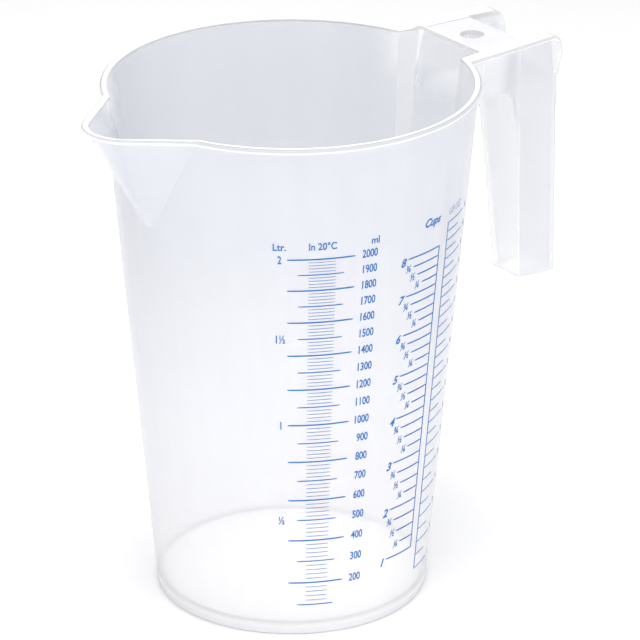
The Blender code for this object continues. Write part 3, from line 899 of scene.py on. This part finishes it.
# How much each mask changes the tint, and how much it adds to the opacity or takes off it.
FOLD_LIGHT_SHARE = 0.5
BAY_LIGHT_SHARE = 0.8
BAY_BACK_LOWEST = 0.15
OPACITY_ADDED = {"floor": 0.30, "rim": 0.25, "ring": 0.25, "bay": 0.20}
OPACITY_TAKEN = {"fold": 0.06, "handle_front": 0.20}
STREAK_OPACITY = 0.012
CLOUD_OPACITY = 0.01
PALER = 1.04
GRAZING_BLEND = 0.30
OUTLINE_POWER, OUTLINE_SHARE = 2.6, 1.5
THICKENING_POWER = 1.5
PLASTIC_ROUGHNESS = (0.30, 0.38)
PLASTIC_SPECULAR = 0.25
PLASTIC_IOR = 1.49
GRAIN_BUMP = (0.02, 0.0001)

INK_PATCH_SCALE = 500.0
INK_THIN_SPOTS = 0.15
INK_ROUGHNESS = (0.40, 0.55)


class Look:
    """A material with one Principled shader and short names for the nodes it uses."""

    def __init__(self, name):
        self.made = bpy.data.materials.new(name)
        self.made.use_nodes = True
        self.nodes, self.links = self.made.node_tree.nodes, self.made.node_tree.links
        self.shader = self.nodes["Principled BSDF"]
        self.place = self.nodes.new("ShaderNodeTexCoord").outputs["Object"]

    def feed(self, socket, value):
        if isinstance(value, (int, float)):
            socket.default_value = value
        elif isinstance(value, tuple):
            socket.default_value = (*value, 1.0)
        else:
            self.links.new(value, socket)

    def noise(self, scale, detail=2.0, stretch=(1, 1, 1)):
        mapping = self.nodes.new("ShaderNodeMapping")
        mapping.inputs["Scale"].default_value = stretch
        texture = self.nodes.new("ShaderNodeTexNoise")
        texture.inputs["Scale"].default_value = scale
        texture.inputs["Detail"].default_value = detail
        self.links.new(self.place, mapping.inputs["Vector"])
        self.links.new(mapping.outputs["Vector"], texture.inputs["Vector"])
        return texture.outputs["Fac"]

    def ramp(self, value, from_low, from_high, low=0.0, high=1.0, smooth=False):
        span = self.nodes.new("ShaderNodeMapRange")
        if smooth:
            span.interpolation_type = "SMOOTHSTEP"
        names = ("From Min", "From Max", "To Min", "To Max")
        for name, number in zip(names, (from_low, from_high, low, high)):
            span.inputs[name].default_value = number
        self.links.new(value, span.inputs["Value"])
        return span.outputs["Result"]

    def axis(self, vector, name):
        split = self.nodes.new("ShaderNodeSeparateXYZ")
        self.links.new(vector, split.inputs["Vector"])
        return split.outputs[name]

    def bands(self, value, stops):
        """Greys at positions between 0 and 1."""
        node = self.nodes.new("ShaderNodeValToRGB")
        ends = node.color_ramp.elements
        while len(ends) < len(stops):
            ends.new(0.5)
        for end, (position, grey) in zip(ends, stops):
            end.position = position
            end.color = (grey, grey, grey * 1.01, 1.0)
        self.links.new(value, node.inputs["Fac"])
        return node.outputs["Color"]

    def dot(self, first, second, kept):
        """The dot product of two vectors, of which only the kept parts count."""
        trimmed = self.nodes.new("ShaderNodeVectorMath")
        trimmed.operation = "MULTIPLY"
        trimmed.inputs[1].default_value = kept
        self.links.new(first, trimmed.inputs[0])
        product = self.nodes.new("ShaderNodeVectorMath")
        product.operation = "DOT_PRODUCT"
        self.links.new(trimmed.outputs["Vector"], product.inputs[0])
        self.links.new(second, product.inputs[1])
        return product.outputs["Value"]

    def choose(self, share, first, second):
        """A number between two others."""
        node = self.nodes.new("ShaderNodeMix")
        self.feed(node.inputs[0], share)
        self.feed(node.inputs[2], first)
        self.feed(node.inputs[3], second)
        return node.outputs[0]

    def maths(self, operation, first, second):
        node = self.nodes.new("ShaderNodeMath")
        node.operation = operation
        self.feed(node.inputs[0], first)
        self.feed(node.inputs[1], second)
        return node.outputs["Value"]

    def product(self, first, *others):
        for other in others:
            first = self.maths("MULTIPLY", first, other)
        return first

    def total(self, first, *others):
        for other in others:
            first = self.maths("ADD", first, other)
        return first

    def without(self, share):
        """What is left of 1."""
        return self.maths("SUBTRACT", 1.0, share)

    def size_of(self, value):
        return self.maths("ABSOLUTE", value, 0.0)

    def mix(self, share, first, second):
        node = self.nodes.new("ShaderNodeMix")
        node.data_type = "RGBA"
        self.feed(node.inputs["Factor"], share)
        self.feed(node.inputs["A"], first)
        self.feed(node.inputs["B"], second)
        return node.outputs["Result"]

    def bump(self, height, strength, distance):
        node = self.nodes.new("ShaderNodeBump")
        node.inputs["Strength"].default_value = strength
        node.inputs["Distance"].default_value = distance
        self.links.new(height, node.inputs["Height"])
        self.links.new(node.outputs["Normal"], self.shader.inputs["Normal"])


def polypropylene(name, plastic):
    """Milky natural polypropylene: each surface lets part of the light straight through.

    The wall has three colours from its top to its floor, painted lighter towards the floor: painted
    light standing in for the light of the table, which the thick foot gathers.
    """
    look = Look(name)
    shader = look.shader
    clouds = look.noise(CLOUD_SCALE, 3.0)
    streaks = look.noise(STREAK_SCALE, 2.0, STREAK_STRETCH)
    grain = look.noise(GRAIN_SCALE)
    normal = look.nodes.new("ShaderNodeNewGeometry").outputs["Normal"]
    along, across, height = (look.axis(look.place, name) for name in "XYZ")
    facing_x, facing_y, facing_z = (look.axis(normal, name) for name in "XYZ")
    sideways = look.ramp(look.size_of(facing_y), *TO_SIDE)
    inwards = look.ramp(facing_x, *TO_VESSEL)
    paler = tuple(min(1.0, part * PALER) for part in plastic.upper)

    near_floor = look.ramp(height, *NEAR_FLOOR)
    tint = look.mix(look.ramp(clouds, *CLOUD_SPAN), plastic.upper, paler)
    # Painted light: the tint lightens down the lower wall and towards the floor.
    tint = look.mix(look.ramp(height, *LOW_WALL), tint, plastic.lower)
    tint = look.mix(near_floor, tint, plastic.floor)

    # Painted shade: a grey ring runs round the foot outside, and round the floor's edge inside,
    # where wall and floor meet.
    upright = look.ramp(look.size_of(facing_z), *TO_WALL)
    ring_low, ring_high = plastic.ring_z
    fade_in, fade_out = RING_EDGES
    ring = look.product(
        look.ramp(height, ring_low, ring_low + fade_in),
        upright,
        look.ramp(height, ring_high + fade_out, ring_high),
    )
    grey = plastic.ring_grey
    tint = look.mix(ring, tint, (grey, grey, grey * PALER))

    # Painted shade and light: the handle's sides are tinted darker and its front paler; its front
    # also lets more light through than its sides do.
    handle = look.ramp(along, *HANDLE_START)
    outer_side = look.ramp(look.dot(normal, look.place, (0, 1, 0)), *OUTER_SIDE)
    handle_side = look.product(handle, sideways, outer_side)
    under_top = look.ramp(height, *UNDER_ARM_TOP)
    handle_inner = look.product(sideways, look.without(outer_side), under_top)
    handle_front = look.product(handle, look.maths("MAXIMUM", inwards, handle_inner))
    tint = look.mix(handle_side, tint, HANDLE_SIDE_SHADE_TINT)
    tint = look.mix(handle_front, tint, HANDLE_FRONT_LIGHT_TINT)

    # Painted light: the walls beside the pouring lip's far fold are tinted paler, for the light
    # that comes in through the lip, and are a little clearer.
    beside_fold = look.product(
        look.ramp(along, *FOLD_ALONG),
        look.ramp(across, *FOLD_ACROSS),
        look.ramp(height, *FOLD_UP),
    )
    tint = look.mix(look.product(beside_fold, FOLD_LIGHT_SHARE), tint, FOLD_LIGHT_TINT)

    # Painted light: the bay's narrow side walls are tinted paler where they catch the light, and
    # its back wall where it is lit from the handle's side.
    bay_side = look.product(
        look.ramp(along, *BAY_SIDE_START), look.ramp(along, *BAY_SIDE_END), sideways
    )
    bay_back = look.product(
        look.ramp(along, *BAY_BACK_START),
        inwards,
        look.ramp(height, *BAY_BACK_UP, BAY_BACK_LOWEST, 1.0),
    )
    beside_bay = look.product(
        look.ramp(along, *BESIDE_BAY_ALONG),
        look.ramp(across, *BESIDE_BAY_ACROSS),
        look.ramp(height, *BESIDE_BAY_UP),
    )
    # Painted highlight: a thin white line runs up the bay's corner.
    corner_line = look.ramp(height, *CORNER_LINE_UP, *CORNER_LINE_ACROSS)
    past_corner = look.maths("SUBTRACT", look.size_of(across), corner_line)
    bay_corner = look.product(
        look.ramp(past_corner, *CORNER_WIDTH),
        inwards,
        look.ramp(along, *CORNER_START),
        look.ramp(along, *CORNER_END),
    )
    lit = look.maths("MAXIMUM", bay_side, look.maths("MAXIMUM", bay_back, beside_bay))
    lit = look.product(lit, look.ramp(along, *BAY_END), BAY_LIGHT_SHARE)
    tint = look.mix(lit, tint, BAY_LIGHT_TINT)
    tint = look.mix(bay_corner, tint, BAY_CORNER_HIGHLIGHT_TINT)

    # Round the rim bead and the flanges' edges the tint runs from underneath, over the top, to the
    # inside, in
    # thin grey and white lines: painted highlights and painted shade that follow how the surface
    # turns.
    rim_low = RIM_Z - plastic.rim_depth
    rim = look.ramp(height, rim_low, rim_low + RIM_EDGE)
    outwards = look.dot(normal, look.place, (1, 1, 0))
    outwards = look.total(outwards, look.ramp(along, *FLANGE_START))
    turn = look.product(look.total(facing_z, 1.0), 0.25)
    position = look.choose(look.ramp(outwards, *OUTER_RIM), look.without(turn), turn)
    tint = look.mix(rim, tint, look.bands(position, RIM_HIGHLIGHT_AND_SHADE_BANDS))
    # Painted shade: the bridge's dished top is tinted darker.
    bridge = look.product(rim, look.ramp(height, *BRIDGE_UP), look.ramp(facing_z, *TO_TOP))
    tint = look.mix(bridge, tint, BRIDGE_SHADE_TINT)

    # A wall seen along its length is darker and less clear.
    facing = look.nodes.new("ShaderNodeLayerWeight")
    facing.inputs["Blend"].default_value = GRAZING_BLEND
    grazed = look.product(facing.outputs["Facing"], look.without(beside_fold))
    outline = look.maths("POWER", grazed, OUTLINE_POWER)
    outline = look.product(outline, plastic.grazing * OUTLINE_SHARE, look.without(rim))
    look.feed(shader.inputs["Base Color"], look.mix(outline, tint, OUTLINE_TINT))

    opacity = (plastic.opacity - STREAK_OPACITY, plastic.opacity + STREAK_OPACITY)
    alpha = look.total(
        look.ramp(streaks, *CLOUD_SPAN, *opacity),
        look.ramp(clouds, *CLOUD_SPAN, -CLOUD_OPACITY, CLOUD_OPACITY),
        look.product(look.maths("POWER", grazed, THICKENING_POWER), plastic.grazing),
        look.product(near_floor, OPACITY_ADDED["floor"]),
        look.product(rim, OPACITY_ADDED["rim"]),
        look.product(ring, OPACITY_ADDED["ring"]),
        look.product(look.total(bay_side, bay_corner), OPACITY_ADDED["bay"]),
        look.product(beside_fold, -OPACITY_TAKEN["fold"]),
        look.product(handle_front, -OPACITY_TAKEN["handle_front"]),
    )
    look.feed(shader.inputs["Alpha"], alpha)
    look.feed(shader.inputs["Roughness"], look.ramp(clouds, *CLOUD_SPAN, *PLASTIC_ROUGHNESS))
    shader.inputs["Specular IOR Level"].default_value = PLASTIC_SPECULAR
    shader.inputs["IOR"].default_value = PLASTIC_IOR
    look.bump(grain, *GRAIN_BUMP)
    return look.made


def blue_ink(name, colour, worn, alpha):
    """Pad-printed ink: nearly even, with slightly thinner spots."""
    look = Look(name)
    patches = look.noise(INK_PATCH_SCALE, 3.0)
    tint = look.mix(look.ramp(patches, 0.45, 0.75), colour, worn)
    look.feed(look.shader.inputs["Base Color"], tint)
    opacity = look.ramp(patches, 0.3, 0.8, alpha, alpha - INK_THIN_SPOTS)
    look.feed(look.shader.inputs["Alpha"], opacity)
    look.feed(look.shader.inputs["Roughness"], look.ramp(patches, 0.3, 0.7, *INK_ROUGHNESS))
    return look.made


def main():
    bpy.context.scene.view_settings.view_transform = "Standard"
    add_camera()
    add_stage()
    add_lights()
    outside = polypropylene("natural_polypropylene_outside", OUTSIDE)
    inside = polypropylene("natural_polypropylene_inside", INSIDE)
    jug = vessel_mesh(outside, inside)
    add_handle_to(jug)
    jug.location.x = AXIS_X
    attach(jug, "root")
    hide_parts("jug_vessel", "jug_handle")
    bold_ink = blue_ink("blue_ink_bold", (0.0, 0.14, 0.46), (0.02, 0.20, 0.54), 1.0)
    fine_ink = blue_ink("blue_ink_fine", (0.10, 0.22, 0.50), (0.20, 0.32, 0.58), 0.85)
    faint_ink = blue_ink("blue_ink_faint", (0.22, 0.33, 0.60), (0.34, 0.44, 0.68), 0.75)
    add_litre_scale(bold_ink, fine_ink)
    add_cup_scale(bold_ink)
    add_ounce_scale(bold_ink, faint_ink)
    add_headings(bold_ink, faint_ink)


main()
